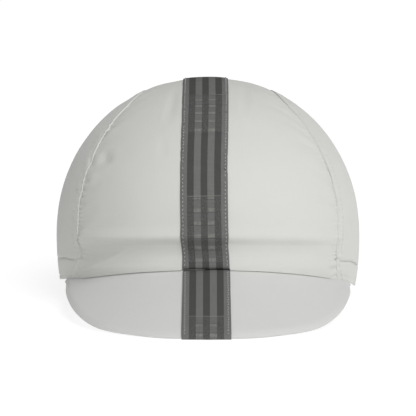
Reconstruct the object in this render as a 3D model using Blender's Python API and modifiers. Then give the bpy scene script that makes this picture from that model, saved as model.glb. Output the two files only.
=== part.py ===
"""Cotton cycling cap with a woven ribbon over its crown and its peak.

The cap is first shaped upright, as it is worn: Z up from the back edge, and -Y the way the peak points. It
is then tipped back until the peak's front edge and the back hem stand on the ground, z = 0. Everything is in
metres. Turns round the rim are in radians, 0 in front and positive to the right, +X.
"""

import math
from collections import namedtuple

import bmesh
import bpy
import numpy as np
from mathutils import Matrix, Vector

# Crown: its outer face as it is worn
CROWN_WIDTH = 0.172  # side to side, at its widest
CROWN_HEIGHT = 0.1152  # back edge to the top
WIDEST_HEIGHT = 0.0256  # the height at which it is widest
FRONT_REACH = 0.0990  # middle to forehead, at the widest height
BACK_REACH = 0.1010  # middle to the back of the head, at the widest height
TOP_SET_BACK = 0.0040  # how far the top lies behind the middle
PLAN_FULLNESS = 2.10  # exponent of the outline from above and in front, where 2 is an ellipse
SIDE_FULLNESS = 2.20  # exponent of the outline from the side
SIDE_TUCK = 0.0019  # how far the sides draw in between the widest height and the edge
FRONT_TUCK = 0.0012
BACK_TUCK = 0.0060  # the elastic in the hem draws the back in
FRONT_ARCH = 0.0142  # how far the front edge arches up over the forehead
FRONT_ARCH_POWER = 1.5
RIGHT_SAG = 0.0029  # how much lower the edge hangs on the right side
LEFT_RISE = 0.0013  # and how much higher it stands on the left
SIDE_SHIFT_POWER = 10

# Cloth
CLOTH_WALL = 0.0012
SEAM_GAP = 0.0003  # left between any two pieces that are sewn together
PIECE_CLEARANCE = 0.0003  # left under what lies on another piece

# Hem with its elastic, round the sides and the back
HEM_HEIGHT = 0.0118
HEM_WALL = 0.0018
GATHER_COUNT = 7  # ruffles on each side, between the ribbon and the end of the elastic
GATHER_DEPTH = 0.0011
GATHER_RISE = 0.042  # how far up from the edge the ruffles fade away
GATHER_FROM = 0.05  # where they start and end, as a share of the half turn from the back to the front
GATHER_TO = 0.38

# Ribbon
RIBBON_WIDTH = 0.0254
RIBBON_WALL = 0.0010
RIBBON_SHIFT = -0.0011  # its middle lies this far to the right of the cap's
RIBBON_END_RISE = 0.0032  # it stops this far above the back edge

# Peak
PEAK_REACH = 0.0588  # root to front edge at the middle, along its slope
PEAK_SLOPE = 32.0  # degrees below level
PEAK_WALL = 0.0022
PEAK_TURN = 70.0  # degrees round the rim from the middle to each tip
PEAK_BOW = 0.0010  # how far its face swells above a straight line from root to edge

# Standing
HEM_PRESSED = 0.0013  # how far the back hem is pressed flat where it meets the ground
PEAK_PRESSED = 0.0002  # and how far the peak's edge is
STEEPEST_TIP = 45.0  # degrees that the cap could tip back at most

# How far up, as heights above the edge, the arch of the front edge is carried into the folds above it
ARCH_CARRY = 0.077
ARCH_CARRY_SHARE = 0.5

# Number of faces along each piece
LOWER_ROW_COUNT = 5  # of the centre panel, from the front edge to the widest height
BACK_ROW_COUNT = 4  # and from there to the hem at the back
ARCH_ROW_COUNT = 34  # over the top, front to back
CENTRE_COLUMN_COUNT = 20
RIBBON_COLUMN_COUNT = 4
SIDE_CORNER_ROW_COUNT = 7  # arch rows that stand along each upright edge of a side panel
SIDE_LOWER_ROW_COUNT = 2  # rows of a side panel between the hem and the widest height
HEM_COLUMN_COUNT = 120
HEM_ROW_COUNT = 2
PEAK_COLUMN_COUNT = 34
PEAK_ROW_COUNT = 7
CREASE_ANGLE = 50.0  # degrees past which an edge is shaded as a crease

# The seam between the centre panel and a side panel: turn is the share of the way over the top, from front
# to back, and half_width the seam's distance from the middle as a share of the crown's half width.
SeamRow = namedtuple("SeamRow", "turn half_width")
SEAM = (
    SeamRow(turn=0.00, half_width=0.826),
    SeamRow(turn=0.10, half_width=0.826),
    SeamRow(turn=0.17, half_width=0.796),
    SeamRow(turn=0.24, half_width=0.738),
    SeamRow(turn=0.29, half_width=0.680),
    SeamRow(turn=0.33, half_width=0.612),
    SeamRow(turn=0.37, half_width=0.530),
    SeamRow(turn=0.42, half_width=0.465),
    SeamRow(turn=0.50, half_width=0.430),
    SeamRow(turn=0.64, half_width=0.415),
    SeamRow(turn=0.82, half_width=0.430),
    SeamRow(turn=1.00, half_width=0.470),
)

# The peak's outline: turn is the share of PEAK_TURN, and reach the share of PEAK_REACH there.
PeakRow = namedtuple("PeakRow", "turn reach")
PEAK_OUTLINE = (
    PeakRow(turn=0.000, reach=1.000),
    PeakRow(turn=0.150, reach=0.986),
    PeakRow(turn=0.245, reach=0.940),
    PeakRow(turn=0.317, reach=0.895),
    PeakRow(turn=0.370, reach=0.847),
    PeakRow(turn=0.430, reach=0.766),
    PeakRow(turn=0.490, reach=0.667),
    PeakRow(turn=0.560, reach=0.548),
    PeakRow(turn=0.650, reach=0.402),
    PeakRow(turn=0.760, reach=0.252),
    PeakRow(turn=0.880, reach=0.112),
    PeakRow(turn=1.000, reach=0.020),
)

# Folds and dents in the crown. side is the place across, as a share of the crown's half width with the right
# positive, and height the place up, as a share of the crown's height. half_across and half_up are the fold's
# half sizes in the same shares, lean turns it, in degrees, and depth is a share of the crown's height, in
# where it is positive. All of them lie on the front half.
Fold = namedtuple("Fold", "side height half_across half_up lean depth")
FOLDS = (
    Fold(side=-0.35, height=0.145, half_across=0.62, half_up=0.042, lean=0, depth=0.016),
    Fold(side=0.45, height=0.150, half_across=0.55, half_up=0.046, lean=-2, depth=0.011),
    Fold(side=0.00, height=0.240, half_across=0.80, half_up=0.050, lean=0, depth=-0.005),
    Fold(side=-0.66, height=0.590, half_across=0.07, half_up=0.085, lean=20, depth=0.010),
    Fold(side=-0.27, height=0.830, half_across=0.06, half_up=0.120, lean=12, depth=0.006),
    Fold(side=0.30, height=0.860, half_across=0.06, half_up=0.110, lean=-24, depth=0.006),
    Fold(side=0.60, height=0.680, half_across=0.08, half_up=0.100, lean=-30, depth=0.005),
)

COTTON_GREY = (0.62, 0.62, 0.60, 1.0)
RIBBON_GREY = (0.12, 0.12, 0.115, 1.0)


def read_curve(table, at):
    """The second column of a table at a value of its first, along a smooth curve through the rows."""
    keys = [row[0] for row in table]
    values = [row[1] for row in table]
    slopes = np.gradient(values, keys)
    at = min(max(at, keys[0]), keys[-1])
    i = min(int(np.searchsorted(keys, at, side="right")) - 1, len(keys) - 2)
    span = keys[i + 1] - keys[i]
    t = (at - keys[i]) / span
    rise = values[i + 1] - values[i]
    bend = slopes[i] * span - rise
    end_bend = rise - slopes[i + 1] * span
    return values[i] + t * rise + t * (1 - t) * ((1 - t) * bend + t * end_bend)


def fall_off(distance):
    """1 at no distance, falling smoothly to 0 at a distance of 1 and past it."""
    return max(0.0, 1 - distance * distance) ** 2


def signed_power(value, power):
    return math.copysign(abs(value) ** power, value)


def root_share(share, fullness):
    """How far out an outline of that fullness still reaches, a share of the way along its other side."""
    return max(0.0, 1 - abs(share) ** fullness) ** (1 / fullness)


# The crown's outer face


def tucked(height):
    """How far the wall has drawn in below the widest height: 0 there and 1 at the height of the edge."""
    return (max(0.0, WIDEST_HEIGHT - height) / WIDEST_HEIGHT) ** 2


def half_width_at(height):
    return CROWN_WIDTH / 2 - SIDE_TUCK * tucked(height)


def reach_at(height, backward):
    if backward:
        return BACK_REACH - BACK_TUCK * tucked(height)
    return FRONT_REACH - FRONT_TUCK * tucked(height)


def dome_share(height):
    """The share of the way from the widest height to the top."""
    return max(0.0, height - WIDEST_HEIGHT) / (CROWN_HEIGHT - WIDEST_HEIGHT)


def side_outline(y, z):
    """What the view from the side takes up of the crown's outline: 1 on it, and 0 on its inmost line."""
    y = y - TOP_SET_BACK * dome_share(z) ** 2
    inside = abs(y / reach_at(z, y > 0)) ** SIDE_FULLNESS + dome_share(z) ** SIDE_FULLNESS
    return inside ** (PLAN_FULLNESS / SIDE_FULLNESS)


def outward(point):
    """The direction straight out of the crown's plain face at a point on it."""
    step = 1e-5

    def level(x, y, z):
        return side_outline(y, z) + abs(x / half_width_at(z)) ** PLAN_FULLNESS

    slopes = []
    for axis in range(3):
        ahead, behind = point.copy(), point.copy()
        ahead[axis] += step
        behind[axis] -= step
        slopes.append(level(*ahead) - level(*behind))
    return Vector(slopes).normalized()


def fold_depth(point):
    """How far the folds of the front press the cloth in at a point."""
    if point.y > 0:
        return 0.0
    depth = 0.0
    for fold in FOLDS:
        across = point.x / (CROWN_WIDTH / 2) - fold.side
        up = (point.z - carried_arch(point)) / CROWN_HEIGHT - fold.height
        lean = math.radians(fold.lean)
        turned_across = across * math.cos(lean) + up * math.sin(lean)
        turned_up = up * math.cos(lean) - across * math.sin(lean)
        distance = math.hypot(turned_across / fold.half_across, turned_up / fold.half_up)
        depth += fold.depth * CROWN_HEIGHT * fall_off(distance)
    return depth


def carried_arch(point):
    """How far the folds follow the front edge's arch upward at a point."""
    near_edge = fall_off(point.z / ARCH_CARRY)
    return ARCH_CARRY_SHARE * FRONT_ARCH * near_edge * (1 - (2 * point.x / CROWN_WIDTH) ** 2)


def gather_depth(point):
    """How far the ruffles over the elastic stand in from the plain face at a point of the back."""
    turn = math.atan2(abs(point.x), point.y) / math.pi
    if not GATHER_FROM < turn < GATHER_TO:
        return 0.0
    along = (turn - GATHER_FROM) / (GATHER_TO - GATHER_FROM)
    strength = math.sin(math.pi * along) * fall_off(point.z / GATHER_RISE)
    return GATHER_DEPTH * strength * (1 - math.cos(2 * math.pi * GATHER_COUNT * along)) / 2


def lifted(point, lift=0.0):
    """A point of the plain face moved onto the folded cloth, and then out by a lift."""
    return point + outward(point) * (lift - fold_depth(point) - gather_depth(point))


def edge_height(turn):
    """The height of the crown's lowest edge at a turn round the rim."""
    arch = FRONT_ARCH * max(0.0, math.cos(turn)) ** FRONT_ARCH_POWER
    side_shift = LEFT_RISE if math.sin(turn) < 0 else -RIGHT_SAG
    return arch + side_shift * abs(math.sin(turn)) ** SIDE_SHIFT_POWER


def rim_turn(x, height, backward=False):
    """The turn round the rim of a point of the wall."""
    turn = math.asin(signed_power(min(1.0, max(-1.0, x / half_width_at(height))), PLAN_FULLNESS / 2))
    return math.pi - turn if backward else turn


def rim_point(turn, height, inward=0.0):
    """A point of the plain face below the widest height, or that far inside it."""
    bend = 2 / PLAN_FULLNESS
    half_width = half_width_at(height) - inward
    reach = reach_at(height, math.cos(turn) < 0) - inward
    across, along = signed_power(math.sin(turn), bend), signed_power(math.cos(turn), bend)
    return Vector((half_width * across, -reach * along, height))


def edge_height_at(x, backward=False):
    """The height of the crown's lowest edge at a distance from the middle, closed in on in a few steps."""
    height = 0.0
    for _ in range(4):
        height = edge_height(rim_turn(x, height, backward))
    return height


def wall_point(x, height, backward):
    """The plain face below the widest height."""
    reach = reach_at(height, backward) * root_share(x / half_width_at(height), PLAN_FULLNESS)
    return Vector((x, reach if backward else -reach, height))


def arch_point(x, turn):
    """The plain face above the widest height, a share of the way over from front to back."""
    angle = math.pi * turn
    reach = reach_at(WIDEST_HEIGHT, turn > 0.5)
    forward = abs(math.cos(angle) / reach) ** SIDE_FULLNESS
    upward = abs(math.sin(angle) / (CROWN_HEIGHT - WIDEST_HEIGHT)) ** SIDE_FULLNESS
    radius = (forward + upward) ** (-1 / SIDE_FULLNESS)
    radius *= root_share(2 * x / CROWN_WIDTH, PLAN_FULLNESS)
    height = WIDEST_HEIGHT + radius * math.sin(angle)
    return Vector((x, -radius * math.cos(angle) + TOP_SET_BACK * dome_share(height) ** 2, height))


def side_point(y, z, side):
    """The crown's plain face behind a point of the view from one side."""
    share = max(0.0, 1 - side_outline(y, z)) ** (1 / PLAN_FULLNESS)
    return Vector((side * half_width_at(z) * share, y, z))


# Stages run along the cap's middle from front to back: 0 is the front edge, 1 the widest height in front,
# 2 the widest height at the back, and 3 the end of the piece above the back edge.


def stage_point(x, stage, above_back_edge):
    """The plain face at a stage, of a piece that ends that far above the back edge."""
    if 1 <= stage <= 2:
        return arch_point(x, stage - 1)
    backward = stage > 2
    low = edge_height_at(x, backward)
    if backward:
        low += above_back_edge
    to_edge = stage - 2 if backward else 1 - stage
    return wall_point(x, WIDEST_HEIGHT + (low - WIDEST_HEIGHT) * to_edge, backward)


def arch_stages():
    return list(np.linspace(1, 2, ARCH_ROW_COUNT + 1))


def middle_stages():
    """The stages of the rows that the centre panel and the ribbon share."""
    front = np.linspace(0, 1, LOWER_ROW_COUNT + 1)[:-1]
    back = np.linspace(2, 3, BACK_ROW_COUNT + 1)[1:]
    return [*front, *arch_stages(), *back]


def seam_x(stage):
    return read_curve(SEAM, stage - 1) * CROWN_WIDTH / 2


def seam_point(stage):
    """The edge of the right side panel along its seam, at a stage."""
    return stage_point(seam_x(stage) + SEAM_GAP / 2, stage, HEM_HEIGHT + SEAM_GAP)


# Building


def new_collection(name):
    collection = bpy.data.collections.new(name)
    bpy.context.scene.collection.children.link(collection)
    return collection


def material(name, colour, roughness):
    made = bpy.data.materials.new(name)
    made.use_nodes = True
    shader = made.node_tree.nodes["Principled BSDF"]
    shader.inputs["Base Color"].default_value = colour
    shader.inputs["Roughness"].default_value = roughness
    shader.inputs["Metallic"].default_value = 0.0
    return made


def cloth_grid(name, columns, rows, place, wall, outside, look, collection):
    """A piece of cloth: a grid whose points place(across, along) sets, both from 0 to 1, given its wall.

    The wall grows outside or inside the placed face, which is turned to look away from the cap's inside.
    """
    shape = bmesh.new()
    bmesh.ops.create_grid(shape, x_segments=columns, y_segments=rows, size=0.5)
    for vertex in shape.verts:
        vertex.co = place(vertex.co.x + 0.5, vertex.co.y + 0.5)
    shape.normal_update()
    inside = Vector((0, 0, WIDEST_HEIGHT))
    if sum(face.normal.dot(face.calc_center_median() - inside) for face in shape.faces) < 0:
        bmesh.ops.reverse_faces(shape, faces=shape.faces)
    mesh = bpy.data.meshes.new(name)
    shape.to_mesh(mesh)
    shape.free()
    mesh.materials.append(look)
    piece = bpy.data.objects.new(name, mesh)
    collection.objects.link(piece)
    thickness = piece.modifiers.new("Wall", "SOLIDIFY")
    thickness.thickness = wall
    thickness.offset = 1.0 if outside else -1.0
    thickness.use_even_offset = True
    mesh.shade_smooth()
    mesh.set_sharp_from_angle(angle=math.radians(CREASE_ANGLE))
    return piece


def row_reader(values):
    """Turns a share of the way along the rows into the value of that row."""
    shares = np.linspace(0, 1, len(values))
    return lambda share: float(np.interp(share, shares, values))


def make_centre_panel(look, collection):
    stages = middle_stages()
    stage_at = row_reader(stages)

    def place(across, along):
        stage = stage_at(along)
        x = (2 * across - 1) * (seam_x(stage) - SEAM_GAP / 2)
        return lifted(stage_point(x, stage, HEM_HEIGHT + SEAM_GAP))

    columns, rows = CENTRE_COLUMN_COUNT, len(stages) - 1
    return cloth_grid("centre_panel", columns, rows, place, CLOTH_WALL, False, look, collection)


def make_side_panel(name, side, look, collection):
    """A side panel: its four edges in the view from the side, filled in between and set on the crown."""
    edge_x = seam_x(0) + SEAM_GAP / 2
    low = edge_height_at(edge_x)
    low_stage = (HEM_HEIGHT + SEAM_GAP) / (WIDEST_HEIGHT - low)
    arch = arch_stages()
    low_front = np.linspace(low_stage, 1, SIDE_LOWER_ROW_COUNT + 1)[:-1]
    low_back = np.linspace(3, 2, SIDE_LOWER_ROW_COUNT + 1)[:-1]
    front_stages = [*low_front, *arch[: SIDE_CORNER_ROW_COUNT + 1]]
    top_stages = arch[SIDE_CORNER_ROW_COUNT : len(arch) - SIDE_CORNER_ROW_COUNT]
    back_stages = [*low_back, *arch[: -SIDE_CORNER_ROW_COUNT - 2 : -1]]

    def edge_reader(stages):
        points = [seam_point(stage) for stage in stages]
        y_at, z_at = row_reader([point.y for point in points]), row_reader([point.z for point in points])
        return lambda share: Vector((y_at(share), z_at(share)))

    front_at, top_at, back_at = edge_reader(front_stages), edge_reader(top_stages), edge_reader(back_stages)
    start_turn = rim_turn(edge_x, seam_point(low_stage).z)
    end_turn = rim_turn(seam_x(3) + SEAM_GAP / 2, seam_point(3).z, True)

    def bottom_at(share):
        turn = start_turn + (end_turn - start_turn) * share
        point = rim_point(turn, edge_height(side * turn) + HEM_HEIGHT + SEAM_GAP)
        return Vector((point.y, point.z))

    def place(across, along):
        between_bottom_and_top = bottom_at(across) * (1 - along) + top_at(across) * along
        between_ends = front_at(along) * (1 - across) + back_at(along) * across
        low_between = front_at(0) * (1 - across) + back_at(0) * across
        high_between = top_at(0) * (1 - across) + top_at(1) * across
        y, z = between_bottom_and_top + between_ends - (low_between * (1 - along) + high_between * along)
        return lifted(side_point(y, z, side))

    columns, rows = len(top_stages) - 1, len(front_stages) - 1
    return cloth_grid(name, columns, rows, place, CLOTH_WALL, False, look, collection)


def make_hem(look, collection):
    """The hem band, from seam to seam round the back. Its ends stand upright along the seams."""
    end_x = seam_x(0) + SEAM_GAP / 2

    def turn_at(across, height):
        start = rim_turn(end_x, height)
        return start + (2 * math.pi - 2 * start) * across

    def place(across, along):
        height = edge_height(turn_at(across, edge_height_at(end_x))) + HEM_HEIGHT * along
        return lifted(rim_point(turn_at(across, height), height))

    return cloth_grid("hem_band", HEM_COLUMN_COUNT, HEM_ROW_COUNT, place, HEM_WALL, False, look, collection)


def make_crown_ribbon(look, collection):
    stages = middle_stages()
    stage_at = row_reader(stages)

    def place(across, along):
        x = RIBBON_SHIFT + (across - 0.5) * RIBBON_WIDTH
        return lifted(stage_point(x, stage_at(along), RIBBON_END_RISE), PIECE_CLEARANCE)

    columns, rows = RIBBON_COLUMN_COUNT, len(stages) - 1
    return cloth_grid("crown_ribbon", columns, rows, place, RIBBON_WALL, True, look, collection)


# Peak


def peak_point(turn, distance, lift=0.0):
    """A point of the peak's upper face at a distance from its root, lifted off that face.

    The root lies just under the crown's front edge, and the face slopes straight out from it all round.
    """
    root = rim_point(turn, 0.0, CLOTH_WALL)
    power = 2 * (PLAN_FULLNESS - 1) / PLAN_FULLNESS
    across = signed_power(math.sin(turn), power) / (half_width_at(0) - CLOTH_WALL)
    along = signed_power(math.cos(turn), power) / (reach_at(0, False) - CLOTH_WALL)
    out = Vector((across, -along, 0)).normalized()
    root.z = edge_height(turn) - SEAM_GAP
    slope = math.radians(PEAK_SLOPE)
    down_slope = out * math.cos(slope) - Vector((0, 0, math.sin(slope)))
    off_face = out * math.sin(slope) + Vector((0, 0, math.cos(slope)))
    share = distance / PEAK_REACH
    return root + down_slope * distance + off_face * (lift + 4 * PEAK_BOW * share * (1 - share))


def peak_reach(turn):
    return read_curve(PEAK_OUTLINE, abs(turn) / math.radians(PEAK_TURN)) * PEAK_REACH


def make_peak(look, collection):
    def place(across, along):
        turn = math.radians(PEAK_TURN) * (2 * across - 1)
        return peak_point(turn, peak_reach(turn) * along)

    return cloth_grid("peak", PEAK_COLUMN_COUNT, PEAK_ROW_COUNT, place, PEAK_WALL, False, look, collection)


def turn_across(x, share):
    """The turn whose line down the peak stands that far across, a share of the way down it."""
    low, high = -math.radians(PEAK_TURN), math.radians(PEAK_TURN)
    for _ in range(40):
        turn = (low + high) / 2
        if peak_point(turn, peak_reach(turn) * share).x < x:
            low = turn
        else:
            high = turn
    return turn


def make_peak_ribbon(look, collection):
    """The ribbon's run down the peak. It starts clear of the crown ribbon's end above it."""
    slope = math.radians(PEAK_SLOPE)
    clear_of_crown = CLOTH_WALL + 2 * PIECE_CLEARANCE + RIBBON_WALL * (1 + math.sin(slope))
    start_share = clear_of_crown / math.cos(slope) / PEAK_REACH

    def place(across, along):
        x = RIBBON_SHIFT + (across - 0.5) * RIBBON_WIDTH
        share = start_share + (1 - start_share) * along
        turn = turn_across(x, share)
        return peak_point(turn, peak_reach(turn) * share, PIECE_CLEARANCE)

    columns, rows = RIBBON_COLUMN_COUNT, PEAK_ROW_COUNT
    return cloth_grid("peak_ribbon", columns, rows, place, RIBBON_WALL, True, look, collection)


# Standing on the ground


def solid_points(pieces):
    graph = bpy.context.evaluated_depsgraph_get()
    points = []
    for piece in pieces:
        shown = piece.evaluated_get(graph)
        points += [shown.matrix_world @ vertex.co for vertex in shown.data.vertices]
    return np.array(points)


def resting_pose(points):
    """The tip and shift that stand the upright cap on the peak's edge and the back hem."""
    front = points[points[:, 1] < -FRONT_REACH]
    back = points[points[:, 1] > BACK_REACH / 2]

    def ground_under(side, pressed, tip):
        return min(side[:, 2] * math.cos(tip) - side[:, 1] * math.sin(tip)) + pressed

    low, high = 0.0, math.radians(STEEPEST_TIP)
    for _ in range(50):
        tip = (low + high) / 2
        if ground_under(front, PEAK_PRESSED, tip) < ground_under(back, HEM_PRESSED, tip):
            low = tip
        else:
            high = tip
    tipped = Matrix.Rotation(-tip, 4, "X")
    stood = points @ np.array(tipped.to_3x3()).T
    middle = (stood.min(0) + stood.max(0)) / 2
    return Matrix.Translation((-middle[0], -middle[1], -ground_under(back, HEM_PRESSED, tip))) @ tipped


def stand(pieces):
    """Gives each piece its wall for good, tips it back, and presses flat what meets the ground."""
    pose = resting_pose(solid_points(pieces))
    graph = bpy.context.evaluated_depsgraph_get()
    finished = [bpy.data.meshes.new_from_object(piece.evaluated_get(graph)) for piece in pieces]
    for piece, mesh in zip(pieces, finished):
        mesh.transform(pose)
        for vertex in mesh.vertices:
            vertex.co.z = max(0.0, vertex.co.z)
        piece.modifiers.clear()
        piece.data = mesh
        mesh.name = piece.name


def main():
    for old in list(bpy.data.objects):
        bpy.data.objects.remove(old)
    collection = new_collection("cycling_cap")
    cotton = material("cotton", COTTON_GREY, 0.85)
    ribbon = material("ribbon", RIBBON_GREY, 0.75)
    stand(
        [
            make_centre_panel(cotton, collection),
            make_side_panel("side_panel_left", -1, cotton, collection),
            make_side_panel("side_panel_right", 1, cotton, collection),
            make_hem(cotton, collection),
            make_peak(cotton, collection),
            make_crown_ribbon(ribbon, collection),
            make_peak_ribbon(ribbon, collection),
        ]
    )


main()
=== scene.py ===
"""The looks of a cotton cycling cap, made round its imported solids.

Every piece of cloth is made again, finer, on the same crown as the solids: first upright, as the cap
is worn, with Z up and -Y the way the peak points, and then tipped back as it stands. Everything is in
metres. Turns round the rim are in radians, 0 in front and positive to the right, and a run is a
distance along a seam or a ribbon.
"""

import math
from collections import namedtuple

import bmesh
import bpy
import numpy as np
from mathutils import Matrix, Vector, noise
from mathutils.kdtree import KDTree

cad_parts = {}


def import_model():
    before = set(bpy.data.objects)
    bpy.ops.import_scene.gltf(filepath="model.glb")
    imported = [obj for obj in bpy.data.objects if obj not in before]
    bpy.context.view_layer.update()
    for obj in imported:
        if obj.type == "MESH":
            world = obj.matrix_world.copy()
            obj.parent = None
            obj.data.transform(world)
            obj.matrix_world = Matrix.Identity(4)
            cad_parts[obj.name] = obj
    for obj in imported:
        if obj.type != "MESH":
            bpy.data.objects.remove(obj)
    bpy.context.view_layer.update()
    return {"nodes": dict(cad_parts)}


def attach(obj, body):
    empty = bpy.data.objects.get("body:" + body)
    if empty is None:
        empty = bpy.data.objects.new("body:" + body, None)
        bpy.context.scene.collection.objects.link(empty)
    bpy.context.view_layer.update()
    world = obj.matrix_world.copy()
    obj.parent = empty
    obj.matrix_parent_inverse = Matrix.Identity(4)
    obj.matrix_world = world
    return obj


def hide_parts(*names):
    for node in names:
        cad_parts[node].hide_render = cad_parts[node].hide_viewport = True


def table(columns, *rows):
    """Rows whose values can be asked for by the names of their columns."""
    row_of = namedtuple("Row", columns)
    return tuple(row_of(*row) for row in rows)


# Crown: its outer face as it is worn
CROWN_WIDTH = 0.172
CROWN_HEIGHT = 0.1152
WIDEST_HEIGHT = 0.0256
FRONT_REACH = 0.0990
BACK_REACH = 0.1010
TOP_SET_BACK = 0.0040
PLAN_FULLNESS = 2.10
SIDE_FULLNESS = 2.20
SIDE_TUCK = 0.0019
FRONT_TUCK = 0.0012
BACK_TUCK = 0.0060
FRONT_ARCH = 0.0142
FRONT_ARCH_POWER = 1.5
RIGHT_SAG = 0.0029
LEFT_RISE = 0.0013
SIDE_SHIFT_POWER = 10
ARCH_CARRY = 0.077
ARCH_CARRY_SHARE = 0.5

# Cloth
PANEL_WALL = 0.0008
SIDE_WALL = 0.0012  # a side panel has its turned edge under it
HEM_WALL = 0.0012
HEM_HEIGHT = 0.0118
HEM_PULL = 0.0017  # how far the seams pull the hem's top down
HEM_PULL_TURN = 0.22
HEM_LINE_DIP = 0.0002  # groove between the hem and the panel above it
HEM_LINE_WIDTH = 0.0006
HEM_LAP_SHARE = 0.15  # how much of the seam's lap still shows over the hem
HEM_END_RIDGE = 0.00060  # the slanting end of the folded hem beside the seam
HEM_END_RIDGE_WIDTH = 0.0013
HEM_END_TOP = 0.0012  # how far that end lies from the seam at the hem's top
HEM_END_SLANT = 0.0062  # and how much farther at its edge
HEM_RUFFLE = 0.0003
HEM_RUFFLE_FADE = (0.20, 0.32)  # shares of the hem's length, from either end, where its ruffles begin
ROUNDED_EDGE = 0.00022  # radius of a cut or folded edge
SOFT_CREASE = math.radians(40)  # the bend past which an edge is rounded
PANEL_STEP = 0.00062  # from row to row of the centre panel
RELAXING_ROUNDS = 400  # for the side panels' grids
RELAXING_STRIDE = 1.93

# Seams between the panels: the side panels lap over the centre panel
SEAM_LAP = 0.0030  # how far the centre panel runs on under a side panel
LAP_RISE = 0.00034  # how far the layers below lift a side panel beside its seam
LAP_WIDTH = 0.0062
LAP_FADE = 0.0020
LAP_DIP = 0.00028  # how far the centre panel dips under the side panel's edge
DIP_WIDTH = 0.0010
EDGE_ROLL = 0.00020  # the folded edge of a side panel stands up like a thin cord
EDGE_ROLL_IN = 0.0004
EDGE_ROLL_WIDTH = 0.0008
HEM_NOTCH = 0.0004  # the hem's top line runs on a little past the seam as a dip in the centre panel
HEM_NOTCH_WIDTH = 0.0009
HEM_NOTCH_FADE = (0.0036, 0.0050)
PUCKER_PITCH = 0.0027
PUCKER_DEPTH = 0.00110
PUCKER_PATCH = 0.019  # length over which the puckers grow stronger and weaker
PUCKER_DRIFT = 0.0085  # length over which their pitch changes
PUCKER_EASING = 0.55  # how much weaker the puckers are over the top and at the back
PUCKER_EASED = (0.085, 0.125)  # the stretch of the seam where they weaken
PUCKER_WIDTH = 0.0130
DRAG_DEPTH = 0.00105  # of the longer, softer drag lines beside the seams
DRAG_WIDTH = 0.0250
DRAG_START = 0.004
DRAG_PITCH = 0.0085
DRAG_LEAN = 0.7
SEAM_WOBBLE = 0.0011  # how far the sewn line strays to either side

# Ruffles of the elastic at the back
GATHER_COUNT = 7
GATHER_DEPTH = 0.0011
GATHER_RISE = 0.042
GATHER_FROM = 0.05
GATHER_TO = 0.38

# Ribbon
RIBBON_WIDTH = 0.0254
RIBBON_WALL = 0.0006
RIBBON_LIFT = 0.00015
RIBBON_SHIFT = -0.0011
RIBBON_END_RISE = 0.0032
RIBBON_STEP = 0.0008  # from row to row of the crown's ribbon
RIBBON_END_RUNS = (0.0, 0.0002, 0.0004, 0.0007, 0.0011)  # the closer rows where its end turns in
RIBBON_EDGE_DIP = 0.00022
RIBBON_DRAWN_IN = 0.00010  # how far the stitches draw the ribbon's edges in
RIBBON_UNEVEN = 0.00018
RIBBON_BOW = table(
    "run shift",
    (0.000, 0.00000),
    (0.010, -0.00012),
    (0.022, -0.00068),
    (0.034, -0.00098),
    (0.049, -0.00100),
    (0.063, -0.00062),
    (0.080, -0.00032),
    (0.110, -0.00026),
    (0.150, -0.00030),
    (0.220, 0.00020),
    (0.329, 0.00000),
)
RIBBON_CREASES = table(
    "run half depth lean",
    (0.0478, 0.0014, 0.00052, 0.0026),
    (0.0530, 0.0013, 0.00035, 0.0018),
    (0.0618, 0.0014, 0.00052, -0.0006),
    (0.0690, 0.0018, 0.00025, 0.0010),
    (0.0825, 0.0016, 0.00052, -0.0006),
    (0.0940, 0.0015, 0.00050, 0.0012),
    (0.1130, 0.0015, 0.00045, -0.0010),
    (0.1850, 0.0018, 0.00050, 0.0008),
    (0.2430, 0.0018, 0.00050, -0.0012),
)

# Peak
PEAK_REACH = 0.0588
PEAK_SLOPE = math.radians(32)
PEAK_WALL = 0.0022
PEAK_TURN = math.radians(70)  # of its ends from the middle
PEAK_END_TURNS = (math.radians(48), math.radians(66))  # between them the ends of the root rise
PEAK_SWELL = 0.00025
PEAK_BOW = 0.0010
PEAK_RIM_DROP = 0.0011  # how far the upper face rolls down at the rim
PEAK_RIM_WIDTH = 0.0050
PEAK_RIBBON_SHIFT = -0.0008
PEAK_RIBBON_EXTRA = 0.0002  # the ribbon lies flatter there, so each half is a little wider
PEAK_RIBBON_SINK = 0.0007  # how far its upper end sinks in under the crown
PEAK_RIBBON_SINK_RUN = 0.006
PEAK_RIBBON_WRAP = math.radians(72)  # how far it goes round the peak's rim
PEAK_RIBBON_RUN = 0.5  # counted on from the crown's ribbon, so that its unevenness is another
PEAK_ROOT_WALL = 0.0012  # how far inside the crown's face the peak's root lies
PEAK_ROOT_GAP = 0.0003
PEAK_END_RISE = 0.0016  # how far the ends of the root rise behind the hem
PEAK_TUCK_IN = 0.0026  # how far the peak's cloth runs on up into the crown
FRONT_DROP = 0.00095  # how far the crown's front edge hangs over the peak's root
RIBBON_GAP = 0.00110  # how far that edge stays up under the ribbon
RIBBON_GAP_EDGES = (-0.0004, 0.0002)  # where it comes down, from the ribbon's edge outwards
RIBBON_TUCK = 0.0018  # how far the ribbon's end turns in at the front edge
RIBBON_TUCK_RUN = 0.0016

# Stitches
STITCH_LENGTH = 0.0019
STITCH_PITCH = 0.0024
THREAD = 0.00034
RIBBON_ROW_IN = 0.0014  # how far a row of stitches lies in from the ribbon's edge
RIBBON_STITCH_LENGTH = 0.0016
RIBBON_STITCH_PITCH = 0.0021
RIBBON_STITCH_LEAN = math.radians(24)
RIBBON_THREAD = 0.00052
NEEDLE_DIP = 0.00022  # how far a row of stitches pulls the cloth in
NEEDLE_DIP_WIDTH = 0.0011
HEM_LOW_ROW = 0.0022  # height of the groove along the hem's lower edge
SEAM_ROWS = (0.0011, 0.0056)  # distance of each row of stitches from the seam
LINE_STEP = 0.002  # from point to point of the lines that stitches follow

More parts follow.
